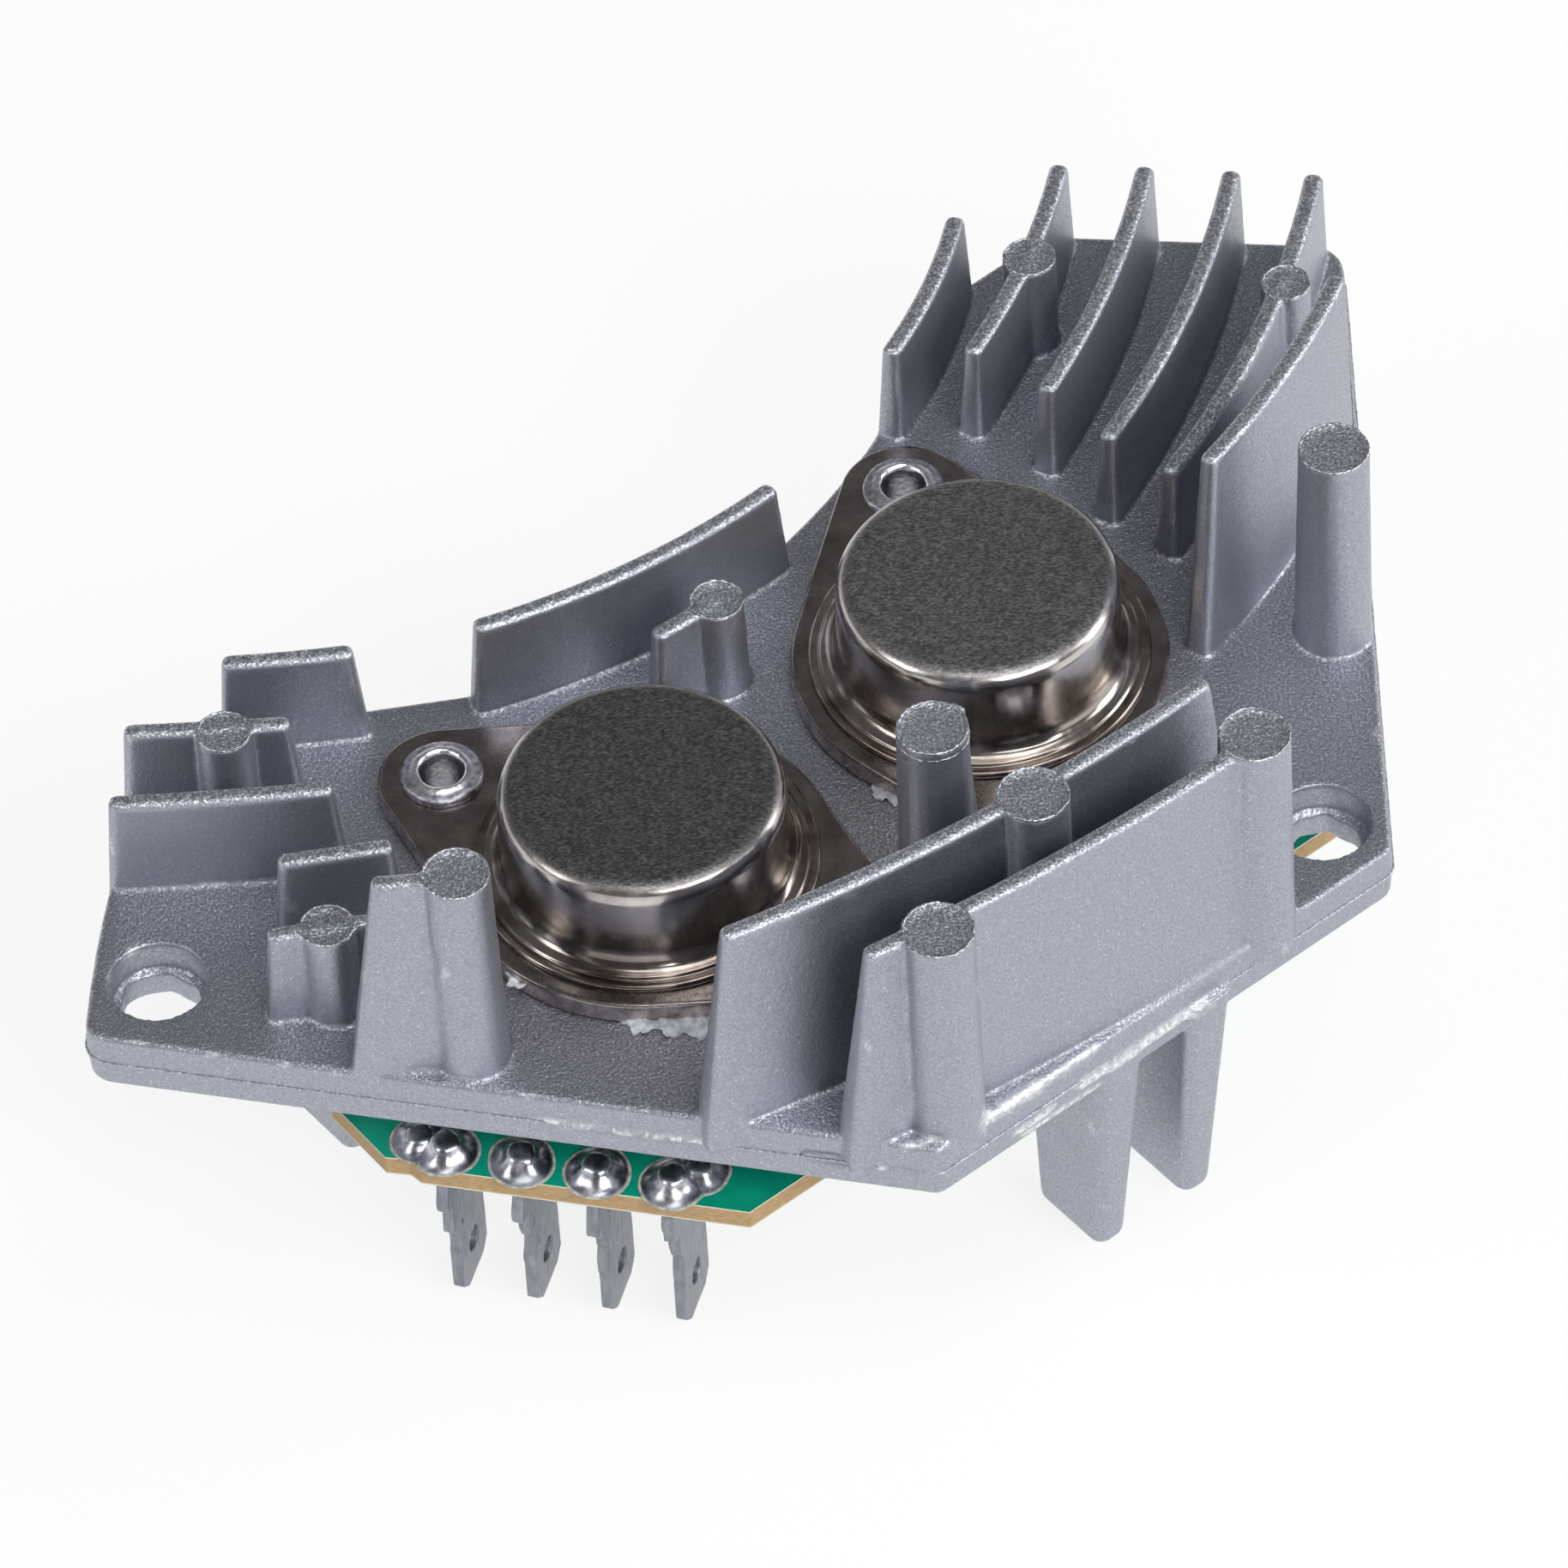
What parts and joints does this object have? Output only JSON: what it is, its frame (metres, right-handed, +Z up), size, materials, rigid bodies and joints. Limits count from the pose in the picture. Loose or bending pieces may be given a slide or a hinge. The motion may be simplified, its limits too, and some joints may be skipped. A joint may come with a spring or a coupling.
{
  "type": "blower motor resistor",
  "caption": "Electronic blower motor resistor: die-cast heat sink with curved fins and posts, riveted metal-can power transistors, and a circuit board with blade terminals underneath",
  "frame": {"origin": "midway between the two mounting holes, on the top face of the heat sink's plate", "axes": "+X from the left mounting hole to the right one, +Z up along the fins, +Y towards the wing with the long fins"},
  "size_m": [0.0907, 0.0782, 0.0413],
  "materials": {
    "cast_aluminium": "as die-cast, fine sparkling grain",
    "nickel_plate": "bright nickel plating on drawn steel",
    "rivet_metal": "bright tinned, formed",
    "tinned_metal": "matt tin plating",
    "solder": "bright, wavy",
    "board_laminate": "green solder mask on glass laminate",
    "thermal_compound": "matt paste",
    "copper": "bright copper",
    "silicon": "polished",
    "seal_glass": "fused glass",
    "black_moulding": "moulded epoxy",
    "can_aluminium": "drawn, bright",
    "resistor_ceramic": "glazed ceramic"
  },
  "bodies": {
    "root": {"heat_sink": "cast_aluminium", "transistor_header_1": "nickel_plate", "transistor_header_2": "nickel_plate", "transistor_cap_1": "nickel_plate", "transistor_cap_2": "nickel_plate", "chip_spreader_1": "copper", "chip_spreader_2": "copper", "transistor_chip_1": "silicon", "transistor_chip_2": "silicon", "transistor_pins_1": "tinned_metal", "transistor_pins_2": "tinned_metal", "pin_seals_1": "seal_glass", "pin_seals_2": "seal_glass", "thermal_compound_1": "thermal_compound", "thermal_compound_2": "thermal_compound", "eyelet_rivets": "rivet_metal", "circuit_board": "board_laminate", "blade_terminal_1": "tinned_metal", "blade_terminal_2": "tinned_metal", "blade_terminal_3": "tinned_metal", "blade_terminal_4": "tinned_metal", "terminal_solder": "solder", "pin_solder": "solder", "driver_circuit": "black_moulding", "driver_leads": "tinned_metal", "capacitor_can": "can_aluminium", "capacitor_base": "black_moulding", "protection_diode": "black_moulding", "sense_resistors": "resistor_ceramic", "chip_resistors": "resistor_ceramic"}
  },
  "joints": []
}
